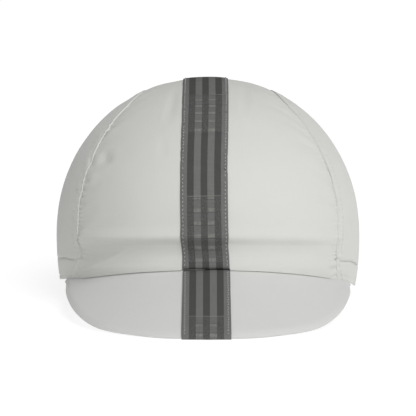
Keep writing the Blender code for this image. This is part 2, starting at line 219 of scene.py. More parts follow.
# How the cap stands: tipped back about the crown's middle, then shifted onto the ground
TIP = math.radians(4.8348)
STAND_SHIFT = Vector((0.000017, 0.021703, 0.006707))
STAND = Matrix.Translation(STAND_SHIFT) @ Matrix.Rotation(-TIP, 4, "X")

# Camera, as the photograph was taken: level with the upright cap but for a few degrees
CAMERA_AIM = Vector((0.0, 0.0, 0.0413))
CAMERA_HEIGHT_ANGLE = math.radians(3.0)
CAMERA_DISTANCE = 1.5
METRES_PER_PIXEL = 0.0005695
PICTURE_WIDTH = 416
SENSOR = 36.0

# Light: turns are in degrees from the front to the right, and heights in degrees above the floor
STUDIO_LIGHTS = table(
    "name turn height energy",
    ("front_window", 22, 32, 1.04),
    ("high_window", 40, 58, 1.46),
)
LIGHT_SOFTNESS = math.radians(40)  # how wide each window looks
ROOM_GREY = 0.268
FLOOR_GLOW = 0.80

# The right seam over the crown: turn goes from 0 at the widest height in front to 1 at the back, and
# half_width is a share of the crown's half width.
SEAM = table(
    "turn half_width",
    (0.00, 0.826),
    (0.10, 0.826),
    (0.17, 0.796),
    (0.24, 0.738),
    (0.29, 0.680),
    (0.33, 0.612),
    (0.37, 0.530),
    (0.42, 0.465),
    (0.50, 0.430),
    (0.64, 0.415),
    (0.82, 0.430),
    (1.00, 0.470),
)

# The peak's outline: turn is a share of PEAK_TURN, and reach a share of PEAK_REACH.
PEAK_OUTLINE = table(
    "turn reach",
    (0.000, 1.000),
    (0.150, 0.986),
    (0.245, 0.940),
    (0.317, 0.895),
    (0.370, 0.847),
    (0.430, 0.766),
    (0.490, 0.667),
    (0.560, 0.548),
    (0.650, 0.402),
    (0.760, 0.252),
    (0.880, 0.116),
    (0.960, 0.066),
    (1.000, 0.030),
)

# Folds of the front: side and height are shares of the crown's half width and height, and so are the
# half sizes. Lean is in degrees. Depth is a share of the crown's height, and inwards where positive.
FOLDS = table(
    "side height half_across half_up lean depth",
    (-0.652, 0.618, 0.046, 0.050, -25, 0.0150),
    (-0.742, 0.600, 0.030, 0.034, -20, 0.0070),
    (-0.735, 0.530, 0.040, 0.045, 0, -0.0040),
    (-0.640, 0.119, 0.300, 0.020, 20, -0.0080),
    (-0.235, 0.870, 0.036, 0.120, -16, 0.0085),
    (-0.160, 0.860, 0.030, 0.100, -12, -0.0030),
    (-0.289, 0.670, 0.030, 0.075, -8, 0.0045),
    (0.235, 0.895, 0.032, 0.110, -8, 0.0065),
    (0.200, 0.830, 0.028, 0.105, 24, -0.0045),
    (0.600, 0.680, 0.080, 0.100, -30, 0.0050),
)

# The roll of cloth over the front edge: how far it stands in, by the height above its line
FRONT_ROLL = table(
    "height depth",
    (-0.0040, 0.0000),
    (0.0008, 0.0001),
    (0.0042, 0.0011),
    (0.0068, 0.0018),
    (0.0086, 0.0019),
    (0.0112, 0.0015),
    (0.0134, 0.0007),
    (0.0148, -0.0006),
    (0.0160, -0.0013),
    (0.0174, -0.0015),
    (0.0194, -0.0009),
    (0.0222, -0.0002),
    (0.0280, 0.0000),
)
ROLL_LOW = 0.0078  # the line follows the front edge only in part
ROLL_FOLLOWS = 0.45
ROLL_SHARES = table(
    "side share",
    (-0.95, 0.0),
    (-0.87, 0.08),
    (-0.80, 0.80),
    (-0.70, 1.25),
    (-0.50, 1.20),
    (-0.15, 0.95),
    (0.20, 0.60),
    (0.60, 0.50),
    (0.80, 0.25),
    (0.95, 0.0),
)


# Reading curves and falling off


def read_curve(table, at):
    """The second column of a table at a value of its first, along a smooth curve through the rows."""
    keys = [row[0] for row in table]
    values = [row[1] for row in table]
    slopes = np.gradient(values, keys)
    at = min(max(at, keys[0]), keys[-1])
    i = min(int(np.searchsorted(keys, at, side="right")) - 1, len(keys) - 2)
    span = keys[i + 1] - keys[i]
    t = (at - keys[i]) / span
    rise = values[i + 1] - values[i]
    bend = slopes[i] * span - rise
    end_bend = rise - slopes[i + 1] * span
    return values[i] + t * rise + t * (1 - t) * ((1 - t) * bend + t * end_bend)


def fall_off(distance):
    """1 at no distance, falling smoothly to 0 at a distance of 1 and past it."""
    return max(0.0, 1 - distance * distance) ** 2


def smooth_step(low, high, at):
    share = min(1.0, max(0.0, (at - low) / (high - low)))
    return share * share * (3 - 2 * share)


def signed_power(value, power):
    return math.copysign(abs(value) ** power, value)


def root_share(share, fullness):
    return max(0.0, 1 - abs(share) ** fullness) ** (1 / fullness)


def soft_noise(point, size, seed=0.0):
    """Smooth noise from about -1 to 1 whose bumps are about that size."""
    return noise.noise(point / size + Vector((seed, 1.7 * seed, -0.6 * seed)))


# The crown's outer face


def tucked(height):
    return (max(0.0, WIDEST_HEIGHT - height) / WIDEST_HEIGHT) ** 2


def half_width_at(height):
    return CROWN_WIDTH / 2 - SIDE_TUCK * tucked(height)


def reach_at(height, backward):
    if backward:
        return BACK_REACH - BACK_TUCK * tucked(height)
    return FRONT_REACH - FRONT_TUCK * tucked(height)


def dome_share(height):
    return max(0.0, height - WIDEST_HEIGHT) / (CROWN_HEIGHT - WIDEST_HEIGHT)


def side_outline(y, z):
    """What the view from the side takes up of the crown's outline: 1 on it, and 0 on its inmost line."""
    y = y - TOP_SET_BACK * dome_share(z) ** 2
    inside = abs(y / reach_at(z, y > 0)) ** SIDE_FULLNESS + dome_share(z) ** SIDE_FULLNESS
    return inside ** (PLAN_FULLNESS / SIDE_FULLNESS)


def outward(point):
    """The direction straight out of the crown's plain face at a point on it."""
    step = 1e-5

    def level(x, y, z):
        return side_outline(y, z) + abs(x / half_width_at(z)) ** PLAN_FULLNESS

    slopes = []
    for axis in range(3):
        ahead, behind = point.copy(), point.copy()
        ahead[axis] += step
        behind[axis] -= step
        slopes.append(level(*ahead) - level(*behind))
    return Vector(slopes).normalized()


def carried_arch(point):
    near_edge = fall_off(point.z / ARCH_CARRY)
    return ARCH_CARRY_SHARE * FRONT_ARCH * near_edge * (1 - (2 * point.x / CROWN_WIDTH) ** 2)


def fold_depth(point):
    """How far the folds of the front press the cloth in at a point."""
    if point.y > 0:
        return 0.0
    depth = 0.0
    for fold in FOLDS:
        across = point.x / (CROWN_WIDTH / 2) - fold.side
        up = (point.z - carried_arch(point)) / CROWN_HEIGHT - fold.height
        lean = math.radians(fold.lean)
        turned_across = across * math.cos(lean) + up * math.sin(lean)
        turned_up = up * math.cos(lean) - across * math.sin(lean)
        distance = math.hypot(turned_across / fold.half_across, turned_up / fold.half_up)
        depth += fold.depth * CROWN_HEIGHT * fall_off(distance)
    return depth + roll_depth(point)


def roll_depth(point):
    turn = rim_turn(point.x, min(point.z, WIDEST_HEIGHT))
    height = point.z - ROLL_LOW - ROLL_FOLLOWS * edge_height(turn)
    if height > FRONT_ROLL[-1].height:
        return 0.0
    return read_curve(FRONT_ROLL, height) * read_curve(ROLL_SHARES, 2 * point.x / CROWN_WIDTH)


def gather_depth(point):
    """How far the ruffles over the elastic stand in from the plain face at a point of the back."""
    turn = math.atan2(abs(point.x), point.y) / math.pi
    if not GATHER_FROM < turn < GATHER_TO:
        return 0.0
    along = (turn - GATHER_FROM) / (GATHER_TO - GATHER_FROM)
    strength = math.sin(math.pi * along) * fall_off(point.z / GATHER_RISE)
    return GATHER_DEPTH * strength * (1 - math.cos(2 * math.pi * GATHER_COUNT * along)) / 2


def unevenness(point):
    """The small swells that any worn cloth has, far too soft to be folds."""
    broad = 0.00022 * soft_noise(point, 0.034, 3.0)
    return broad + 0.00007 * soft_noise(point, 0.012, 8.0)


def lifted(point, lift=0.0):
    """A point of the plain face moved onto the folded cloth, and then out by a lift."""
    lift = lift - fold_depth(point) - gather_depth(point) + unevenness(point)
    return point + outward(point) * lift


def edge_height(turn):
    arch = FRONT_ARCH * max(0.0, math.cos(turn)) ** FRONT_ARCH_POWER
    side_shift = LEFT_RISE if math.sin(turn) < 0 else -RIGHT_SAG
    return arch + side_shift * abs(math.sin(turn)) ** SIDE_SHIFT_POWER


def rim_turn(x, height, backward=False):
    turn = math.asin(signed_power(min(1.0, max(-1.0, x / half_width_at(height))), PLAN_FULLNESS / 2))
    return math.pi - turn if backward else turn


def rim_point(turn, height, inward=0.0):
    bend = 2 / PLAN_FULLNESS
    half_width = half_width_at(height) - inward
    reach = reach_at(height, math.cos(turn) < 0) - inward
    across, along = signed_power(math.sin(turn), bend), signed_power(math.cos(turn), bend)
    return Vector((half_width * across, -reach * along, height))


def edge_height_at(x, backward=False):
    height = 0.0
    for _ in range(4):
        height = edge_height(rim_turn(x, height, backward))
    return height


def wall_point(x, height, backward):
    reach = reach_at(height, backward) * root_share(x / half_width_at(height), PLAN_FULLNESS)
    return Vector((x, reach if backward else -reach, height))


def arch_point(x, turn):
    angle = math.pi * turn
    reach = reach_at(WIDEST_HEIGHT, turn > 0.5)
    forward = abs(math.cos(angle) / reach) ** SIDE_FULLNESS
    upward = abs(math.sin(angle) / (CROWN_HEIGHT - WIDEST_HEIGHT)) ** SIDE_FULLNESS
    radius = (forward + upward) ** (-1 / SIDE_FULLNESS)
    radius *= root_share(2 * x / CROWN_WIDTH, PLAN_FULLNESS)
    height = WIDEST_HEIGHT + radius * math.sin(angle)
    return Vector((x, -radius * math.cos(angle) + TOP_SET_BACK * dome_share(height) ** 2, height))


def side_point(y, z, side):
    share = max(0.0, 1 - side_outline(y, z)) ** (1 / PLAN_FULLNESS)
    return Vector((side * half_width_at(z) * share, y, z))


# Stages run along the cap's middle from front to back: 0 is the front edge, 1 the widest height in
# front, 2 the widest height at the back, and 3 the end of the piece above the back edge.


def stage_point(x, stage, above_back_edge):
    if 1 <= stage <= 2:
        return arch_point(x, stage - 1)
    backward = stage > 2
    low = edge_height_at(x, backward)
    if backward:
        low += above_back_edge
    to_edge = stage - 2 if backward else 1 - stage
    return wall_point(x, WIDEST_HEIGHT + (low - WIDEST_HEIGHT) * to_edge, backward)


def seam_x(stage):
    wobble = SEAM_WOBBLE * noise.noise(Vector((stage / 0.055, 0.5, 0.0))) * smooth_step(1.0, 1.05, stage)
    return read_curve(SEAM, stage - 1) * CROWN_WIDTH / 2 + wobble


def seam_point(stage):
    return stage_point(seam_x(stage), stage, HEM_HEIGHT)


def run_along(points):
    """How far along their line each of the points lies."""
    return np.concatenate([[0.0], np.cumsum(np.linalg.norm(np.diff(points, axis=0), axis=1))])


def even_stages(step, above_back_edge, first=0.0, last=3.0):
    """Stages that lie about a step apart along the seam, from the first to the last."""
    fine = np.linspace(first, last, 1500)
    points = np.array([stage_point(seam_x(stage), stage, above_back_edge) for stage in fine])
    run = run_along(points)
    return np.interp(np.linspace(0, run[-1], round(run[-1] / step) + 1), run, fine)


class SeamLine:
    """The right seam: how far from it a point lies, and how far along it. The left one mirrors it."""

    STEP = 0.0003

    def __init__(self):
        stages = even_stages(self.STEP, HEM_HEIGHT)
        self.tree = KDTree(len(stages))
        for i, stage in enumerate(stages):
            self.tree.insert(seam_point(stage), i)
        self.tree.balance()

    def near(self, point):
        _, i, distance = self.tree.find(Vector((abs(point.x), point.y, point.z)))
        return distance, i * self.STEP


def pucker(run, distance, side):
    """How far the stitching of a seam draws the cloth in, in short dents straight across the seam."""
    along = Vector((run, side * 0.3, 0.0))
    strength = 0.45 + 0.75 * noise.noise(along / PUCKER_PATCH)
    strength *= 1 - PUCKER_EASING * smooth_step(*PUCKER_EASED, run)
    phase = run / PUCKER_PITCH + 1.7 * noise.noise(along / PUCKER_DRIFT)
    width = PUCKER_WIDTH * (0.8 + 0.5 * noise.noise(along / 0.0031))
    wave = (1 + math.cos(2 * math.pi * phase)) / 2
    return PUCKER_DEPTH * max(0.0, strength) * wave * fall_off(distance / width)


def drag(run, distance, side):
    """The longer and softer lines that lean away from a seam over a wider strip."""
    along = Vector(((run - DRAG_LEAN * distance) / DRAG_PITCH, side * 4.0, distance / 0.030))
    depth = DRAG_DEPTH * noise.noise(along) * fall_off(distance / DRAG_WIDTH)
    return depth * smooth_step(0, DRAG_START, distance)


def needle_dip(distance):
    return NEEDLE_DIP * fall_off(distance / NEEDLE_DIP_WIDTH)


def hem_line_dip(distance):
    """The groove along the hem's top, where its row of stitches lies."""
    return 1.5 * needle_dip(distance) + HEM_LINE_DIP * fall_off(distance / HEM_LINE_WIDTH)


def hem_top(turn):
    """How high the hem reaches above the edge: the front seams pull it down a little."""
    from_seam = abs(math.remainder(turn, 2 * math.pi)) - rim_turn(seam_x(0), 0.0)
    return HEM_HEIGHT - HEM_PULL * fall_off(from_seam / HEM_PULL_TURN)


def above_hem(point):
    turn = rim_turn(point.x, min(point.z, WIDEST_HEIGHT), point.y > 0)
    return point.z - edge_height(turn) - hem_top(turn)


def seam_share(point):
    """How much of the seam's lap shows: all of it above the hem and less of it below."""
    return HEM_LAP_SHARE + (1 - HEM_LAP_SHARE) * smooth_step(-0.0015, 0.0015, above_hem(point))


def lapping_lift(point, seam_line, side):
    """How far a side panel or the hem stands off the plain face beside its seam."""
    distance, run = seam_line.near(point)
    lift = LAP_RISE * (1 - smooth_step(LAP_WIDTH, LAP_WIDTH + LAP_FADE, distance))
    lift += EDGE_ROLL * fall_off((distance - EDGE_ROLL_IN) / EDGE_ROLL_WIDTH)
    lift -= sum(needle_dip(distance - row) for row in SEAM_ROWS)
    lift *= seam_share(point)
    return lift - 0.5 * pucker(run, distance, side) + 0.6 * drag(run, distance, side)


def lapped_lift(point, seam_line, beyond):
    """How far the centre panel stands off the plain face beside a seam, or beyond it."""
    distance, run = seam_line.near(point)
    if beyond:
        return -LAP_DIP
    side = math.copysign(1, point.x)
    dip = LAP_DIP * fall_off(distance / DIP_WIDTH) * seam_share(point)
    notch = HEM_NOTCH * fall_off(above_hem(point) / HEM_NOTCH_WIDTH)
    dip += notch * (1 - smooth_step(*HEM_NOTCH_FADE, distance))
    return drag(run, distance, side) - dip - pucker(run, distance, side)


# Cloth as meshes


def placed(name, data):
    made = bpy.data.objects.new(name, data)
    bpy.context.scene.collection.objects.link(made)
    return made


def stand(mesh):
    """Tips an upright mesh back onto the ground, where the solids stand, with no point below it."""
    mesh.transform(STAND)
    for vertex in mesh.vertices:
        vertex.co.z = max(0.0, vertex.co.z)


def finished(name, shape, look):
    """An upright bmesh made into a standing object."""
    mesh = bpy.data.meshes.new(name)
    shape.to_mesh(mesh)
    shape.free()
    stand(mesh)
    mesh.materials.append(look)
    mesh.shade_smooth()
    return placed(name, mesh)


def running_length(points, axis):
    """How far each point of a grid of points lies from its first row or column, along the cloth."""
    steps = np.linalg.norm(np.diff(points, axis=axis), axis=2)
    lengths = np.cumsum(steps, axis=axis)
    start = np.zeros_like(lengths.take([0], axis=axis))
    return np.concatenate([start, lengths], axis=axis)


def cloth(name, columns, rows, place, wall, offset, look):
    """A piece of cloth: a grid whose points place(column, row) sets, given a wall with rounded edges.

    Its UV map gives the place on the flat cloth in metres: across from the middle column, and along it.
    """
    shape = bmesh.new()
    bmesh.ops.create_grid(shape, x_segments=columns, y_segments=rows, size=0.5)
    points = np.zeros((rows + 1, columns + 1, 3))
    spots = {}
    for vertex in shape.verts:
        column, row = round((vertex.co.x + 0.5) * columns), round((vertex.co.y + 0.5) * rows)
        vertex.co = place(column, row)
        points[row, column] = vertex.co
        spots[vertex] = (row, column)
    across = running_length(points, 1)
    across -= across[:, columns // 2 : columns // 2 + 1]
    along = running_length(points, 0)
    flat = shape.loops.layers.uv.new("cloth")
    for face in shape.faces:
        for corner in face.loops:
            corner[flat].uv = (across[spots[corner.vert]], along[spots[corner.vert]])
    shape.normal_update()
    inside = Vector((0, 0, WIDEST_HEIGHT))
    if sum(face.normal.dot(face.calc_center_median() - inside) for face in shape.faces) < 0:
        bmesh.ops.reverse_faces(shape, faces=shape.faces)
    piece = finished(name, shape, look)
    thickness = piece.modifiers.new("Wall", "SOLIDIFY")
    thickness.thickness = wall
    thickness.offset = offset
    rounding = piece.modifiers.new("Rounded edge", "BEVEL")
    rounding.width = ROUNDED_EDGE
    rounding.segments = 2
    rounding.limit_method = "ANGLE"
    rounding.angle_limit = SOFT_CREASE
    return piece


def crowded_steps(total, finest, coarsest, growth=1.25):
    """Shares from 0 to 1 of a length, with steps that grow from both ends towards the middle."""
    steps = [finest]
    while sum(steps) < total / 2:
        steps.append(min(coarsest, steps[-1] * growth))
    both = np.array(steps + steps[::-1])
    return np.concatenate([[0.0], np.cumsum(both)]) / both.sum()


def eased_shares(count, first, last):
    """Shares from 0 to 1 whose steps grow from a part of the full step at either end."""
    index = np.arange(count)
    steps = np.minimum(1, np.minimum(first * (index + 1), last * (count - index)))
    return np.concatenate([[0.0], np.cumsum(steps)]) / steps.sum()


def filled_in(bottom, top, start, end):
    """A grid of points between four edges, each moved to its neighbours' mean until it rests."""
    bottom, top, start, end = (np.array(edge) for edge in (bottom, top, start, end))
    across = np.linspace(0, 1, len(bottom))[None, :, None]
    along = np.linspace(0, 1, len(start))[:, None, None]
    corners = (bottom[0] * (1 - across) + bottom[-1] * across) * (1 - along)
    corners = corners + (top[0] * (1 - across) + top[-1] * across) * along
    between = bottom[None] * (1 - along) + top[None] * along
    points = between + start[:, None] * (1 - across) + end[:, None] * across - corners
    odd = np.add.outer(np.arange(len(start) - 2), np.arange(len(bottom) - 2)) % 2 == 1
    for _ in range(RELAXING_ROUNDS):
        for turn_of in (odd, ~odd):
            mean = (points[:-2, 1:-1] + points[2:, 1:-1] + points[1:-1, :-2] + points[1:-1, 2:]) / 4
            points[1:-1, 1:-1] += RELAXING_STRIDE * (mean - points[1:-1, 1:-1]) * turn_of[..., None]
    return points


def stitches(name, rows, look, length=STITCH_LENGTH, width=THREAD, lean=0.0):
    """Rows of stitches as one mesh. A row is a list of places: a point, the way along and the way out."""
    shape = bmesh.new()
    for row in rows:
        for i, (point, along, out) in enumerate(row):
            side = out.cross(along).normalized()
            along = side.cross(out).normalized()
            turn = Matrix((along, side, out)).transposed().to_4x4()
            tilt = Matrix.Rotation(lean if i % 2 else -lean, 4, "Z")
            size = Matrix.Diagonal((length / 2, width / 2, width / 2, 1))
            place = Matrix.Translation(point) @ turn @ tilt @ size
            bmesh.ops.create_uvsphere(shape, u_segments=6, v_segments=5, radius=1, matrix=place)
    return finished(name, shape, look)


def evenly_along(points, pitch, start=0.0, end=None):
    """Splits a line of points into places a pitch apart: for each a point and the way along."""
    points = np.array(points)
    run = run_along(points)
    end = run[-1] if end is None else end
    places = []
    for at in np.arange(start + pitch / 2, end, pitch):
        here, ahead = (
            Vector([np.interp(value, run, points[:, axis]) for axis in range(3)])
            for value in (at, at + pitch / 4)
        )
        places.append((here, ahead - here))
    return places


# Pieces


def make_centre_panel(seam_line, look):
    """The centre panel, with extra columns beside the ribbon's edges and laps under the side panels."""
    stages = even_stages(PANEL_STEP, HEM_HEIGHT)
    width = 2 * seam_x(1.0)
    inner = crowded_steps(width, finest=0.00045, coarsest=0.0026)
    edges = [RIBBON_SHIFT + side * RIBBON_WIDTH / 2 + step for side in (-1, 1) for step in (-3e-4, 3e-4)]
    inner = np.sort(np.concatenate([inner, [edge / width + 0.5 for edge in edges]]))
    lap = [-0.99 * SEAM_LAP, -0.45 * SEAM_LAP, -0.00025]
    columns, rows = len(inner) - 1 + 2 * len(lap), len(stages) - 1

    def place(column, row):
        stage = stages[row]
        half = seam_x(stage)
        beyond = 0.0
        if column < len(lap):
            x, beyond = -half + lap[column], -lap[column]
        elif column > columns - len(lap):
            x, beyond = half - lap[columns - column], -lap[columns - column]
        else:
            x = (2 * inner[column - len(lap)] - 1) * half
        point = stage_point(x, stage, HEM_HEIGHT - 0.0001)
        lift = lapped_lift(point, seam_line, beyond > 0)
        if stage < 1:
            beside = smooth_step(*RIBBON_GAP_EDGES, abs(x - RIBBON_SHIFT) - RIBBON_WIDTH / 2)
            point.z -= (FRONT_DROP * beside - RIBBON_GAP * (1 - beside)) * (1 - stage) ** 4
        return lifted(point, lift)

    return cloth("centre_panel_cotton", columns, rows, place, PANEL_WALL, -1, look)


def make_side_panel(name, side, seam_line, look):
    """A side panel: its four edges in the view from the side, filled in between and set on the crown."""
    edge_x = seam_x(0)
    seam_hem = HEM_HEIGHT - HEM_PULL
    low_stage = seam_hem / (WIDEST_HEIGHT - edge_height_at(edge_x))
    front_top, back_top = 1.20, 1.80

    def seam_side(first, last):
        fine = np.linspace(first, last, 400)
        points = np.array([seam_point(stage)[1:] for stage in fine])
        run = run_along(points)
        run /= run[-1]
        return lambda share: np.array([np.interp(share, run, points[:, axis]) for axis in range(2)])

    front_at, back_at = seam_side(low_stage, front_top), seam_side(3, back_top)
    top_at = seam_side(front_top, back_top)
    start_turn = rim_turn(edge_x, edge_height_at(edge_x) + seam_hem)
    end_turn = rim_turn(seam_x(3), edge_height_at(seam_x(3), True) + HEM_HEIGHT, True)

    def bottom_at(share):
        turn = start_turn + (end_turn - start_turn) * share
        point = rim_point(turn, edge_height(side * turn) + hem_top(turn))
        return np.array((point.y, point.z))

    columns, rows = 190, 88
    top_shares, bottom_shares = eased_shares(columns, 0.1, 0.1), eased_shares(columns, 0.4, 0.4)
    end_shares = eased_shares(rows, 0.4, 0.1)
    grid = filled_in(
        [bottom_at(share) for share in bottom_shares],
        [top_at(share) for share in top_shares],
        [front_at(share) for share in end_shares],
        [back_at(share) for share in end_shares],
    )

    def place(column, row):
        point = side_point(*grid[row, column], side)
        lift = lapping_lift(point, seam_line, side)
        return lifted(point, lift - hem_line_dip(above_hem(point)))

    return cloth(name, columns, rows, place, SIDE_WALL, -1, look)


def make_hem(seam_line, look):
    """The hem band, from seam to seam round the back. Its ends stand upright along the seams."""
    end_x = seam_x(0)
    columns = 620
    shares = np.concatenate([np.linspace(0, 0.90, 19), [0.93, 0.96, 0.985, 1.0]])

    def turn_at(across, height):
        start = rim_turn(end_x, height)
        return start + (2 * math.pi - 2 * start) * across

    def place(column, row):
        across = column / columns
        turn = turn_at(across, edge_height_at(end_x))
        top = hem_top(turn)
        up = shares[row] * top
        height = edge_height(turn) + up
        point = rim_point(turn_at(across, height), height)
        lift = lapping_lift(point, seam_line, math.copysign(1, point.x))
        ruffle = HEM_RUFFLE * soft_noise(Vector((across * 60, 0, up * 60)), 1.0)
        ruffle *= smooth_step(*HEM_RUFFLE_FADE, across) * smooth_step(*HEM_RUFFLE_FADE, 1 - across)
        lift += ruffle - hem_line_dip(top - up) - needle_dip(up - HEM_LOW_ROW)
        distance, _ = seam_line.near(point)
        from_ridge = distance - HEM_END_TOP - HEM_END_SLANT * (1 - shares[row])
        return lifted(point, lift + HEM_END_RIDGE * fall_off(from_ridge / HEM_END_RIDGE_WIDTH))

    return cloth("hem_cotton", columns, len(shares) - 1, place, HEM_WALL, -1, look)


def ribbon_half(run, across):
    """Half the ribbon's width on that side, where its stitches draw the edge in a little."""
    spot = Vector((run / 0.011, math.copysign(5, across), 0.3))
    return RIBBON_WIDTH / 2 - RIBBON_DRAWN_IN * (1 + noise.noise(spot))


def ribbon_bend(run, across):
    """The shallow creases that run across the ribbon."""
    bend = RIBBON_UNEVEN * noise.noise(Vector((run / 0.0065, 0.9 * across, 2.0)))
    for crease in RIBBON_CREASES:
        bend -= crease.depth * fall_off((run - crease.run + crease.lean * across) / crease.half)
    return bend


def make_crown_ribbon(look):
    even = even_stages(RIBBON_STEP, RIBBON_END_RISE)
    even_runs = np.arange(len(even)) * RIBBON_STEP
    runs = np.concatenate([RIBBON_END_RUNS, even_runs[2:]])
    stages = np.interp(runs, even_runs, even)
    columns = 24

    def place(column, row):
        across = 2 * column / columns - 1
        run = runs[row]
        x = RIBBON_SHIFT + read_curve(RIBBON_BOW, run) + across * ribbon_half(run, across)
        lift = RIBBON_LIFT + ribbon_bend(run, across) - RIBBON_EDGE_DIP * abs(across) ** 8
        lift -= RIBBON_TUCK * max(0.0, 1 - run / RIBBON_TUCK_RUN) ** 2
        return lifted(stage_point(x, stages[row], RIBBON_END_RISE), lift)

    return cloth("crown_ribbon_weave", columns, len(stages) - 1, place, RIBBON_WALL, 1, look)


def out_at(turn):
    """The level way straight out of the crown's rim."""
    power = 2 * (PLAN_FULLNESS - 1) / PLAN_FULLNESS
    across = signed_power(math.sin(turn), power) / (half_width_at(0) - PEAK_ROOT_WALL)
    along = signed_power(math.cos(turn), power) / (reach_at(0, False) - PEAK_ROOT_WALL)
    return Vector((across, -along, 0)).normalized()


def off_peak(turn):
    """The way straight off the peak's upper face."""
    return out_at(turn) * math.sin(PEAK_SLOPE) + Vector((0, 0, math.cos(PEAK_SLOPE)))


def peak_point(turn, distance, lift=0.0):
    """A point of the peak's upper face at a distance from its root, lifted off that face."""
    root = rim_point(turn, 0.0, PEAK_ROOT_WALL)
    root.z = edge_height(turn) - PEAK_ROOT_GAP + PEAK_END_RISE * smooth_step(*PEAK_END_TURNS, abs(turn))
    down_slope = out_at(turn) * math.cos(PEAK_SLOPE) - Vector((0, 0, math.sin(PEAK_SLOPE)))
    share = distance / PEAK_REACH
    return root + down_slope * distance + off_peak(turn) * (lift + 4 * PEAK_BOW * share * (1 - share))


def peak_rim(turn, distance):
    """1 on the peak's rim, falling to 0 where its full thickness begins."""
    return max(0.0, 1 - (peak_reach(turn) - distance) / PEAK_RIM_WIDTH) ** 2


def peak_reach(turn):
    return read_curve(PEAK_OUTLINE, abs(turn) / PEAK_TURN) * PEAK_REACH


def make_peak(look):
    """The peak, whose upper face rolls down and whose wall grows thinner at the rim."""
    columns, rows = 220, 56

    def spot(column, row):
        turn = PEAK_TURN * (2 * column / columns - 1)
        return turn, (peak_reach(turn) + PEAK_TUCK_IN) * row / rows - PEAK_TUCK_IN

    def place(column, row):
        turn, distance = spot(column, row)
        point = peak_point(turn, distance)
        swell = PEAK_SWELL * soft_noise(point, 0.045, 5.0) * smooth_step(0, 0.01, distance)
        swell *= smooth_step(0, 0.012, peak_reach(turn) - distance)
        return point + Vector((0, 0, swell)) - off_peak(turn) * PEAK_RIM_DROP * peak_rim(turn, distance)

    piece = cloth("peak_cotton", columns, rows, place, PEAK_WALL, -1, look)
    thinning = piece.vertex_groups.new(name="wall")
    for vertex in piece.data.vertices:
        row, column = divmod(vertex.index, columns + 1)
        thinned = peak_rim(*spot(column, row)) * PEAK_RIM_DROP / PEAK_WALL
        thinning.add([vertex.index], 1 - thinned, "REPLACE")
    piece.modifiers["Wall"].vertex_group = "wall"
    piece.modifiers["Rounded edge"].width = 0.00045
    piece.modifiers["Rounded edge"].segments = 3
    return piece


def turn_across(x, share):
    """The turn at which a share of the peak's reach lies that far across."""
    low, high = -PEAK_TURN, PEAK_TURN
    for _ in range(40):
        turn = (low + high) / 2
        if peak_point(turn, peak_reach(turn) * share).x < x:
            low = turn
        else:
            high = turn
    return turn


def make_peak_ribbon(look):
    """The ribbon down the peak, which goes on round the peak's edge."""
    columns, rows, round_rows = 24, 72, 8
    rim_wall = PEAK_WALL - PEAK_RIM_DROP
    radius = rim_wall / 2 + RIBBON_LIFT

    def place(column, row):
        across = 2 * column / columns - 1
        share = min(1.0, row / rows)
        run = share * PEAK_REACH + PEAK_RIBBON_RUN
        half = PEAK_RIBBON_EXTRA + ribbon_half(run, across)
        turn = turn_across(PEAK_RIBBON_SHIFT + across * half, share)
        reach = (peak_reach(turn) + PEAK_TUCK_IN) * share - PEAK_TUCK_IN
        if row <= rows:
            sink = PEAK_RIBBON_SINK * fall_off(reach / PEAK_RIBBON_SINK_RUN)
            sink += PEAK_RIM_DROP * peak_rim(turn, reach)
            return peak_point(turn, reach, RIBBON_LIFT - sink + ribbon_bend(run, across))
        angle = PEAK_RIBBON_WRAP * (row - rows) / round_rows
        past_root = reach + radius * math.sin(angle)
        return peak_point(turn, past_root, radius * math.cos(angle) - PEAK_WALL + rim_wall / 2)

    return cloth("peak_ribbon_weave", columns, rows + round_rows, place, RIBBON_WALL, 1, look)


def make_seam_stitches(side, seam_line, look):
    """Two rows of stitches on a side panel, beside its seam."""
    rows = []
    stages = even_stages(LINE_STEP, HEM_HEIGHT, 0.64, 3.0)
    for distance in SEAM_ROWS:
        line = []
        for stage in stages:
            here, ahead = seam_point(stage), seam_point(min(3.0, stage + 0.002))
            way = ahead - here if stage < 2.99 else here - seam_point(2.98)
            away = way.cross(outward(here)).normalized()
            point = here - away * distance if away.x < 0 else here + away * distance
            line.append(side_point(point.y, point.z, 1))
        places = []
        for point, along in evenly_along(line, STITCH_PITCH):
            point.x, along.x = side * point.x, side * along.x
            lift = lapping_lift(point, seam_line, side)
            places.append((lifted(point, lift + THREAD * 0.2), along, outward(point)))
        rows.append(places)
    return stitches(f"seam_stitches_{'left' if side < 0 else 'right'}", rows, look)


def make_hem_stitches(seam_line, look):
    """The row that holds the turned hem, along its top."""
    line = []
    start = rim_turn(seam_x(0), 0.0)
    for share in np.linspace(-0.012, 1.012, 700):
        turn = start + (2 * math.pi - 2 * start) * share
        line.append(rim_point(turn, edge_height(turn) + hem_top(turn)))
    places = []
    for point, along in evenly_along(line, STITCH_PITCH):
        inside_front = point.y < 0 and abs(point.x) < seam_x(0)
        lift = 0.0
        if not inside_front:
            lift = lapping_lift(point, seam_line, math.copysign(1, point.x)) - NEEDLE_DIP
        places.append((lifted(point, lift + THREAD * 0.1), along, outward(point)))
    return stitches("hem_stitches", [places], look)


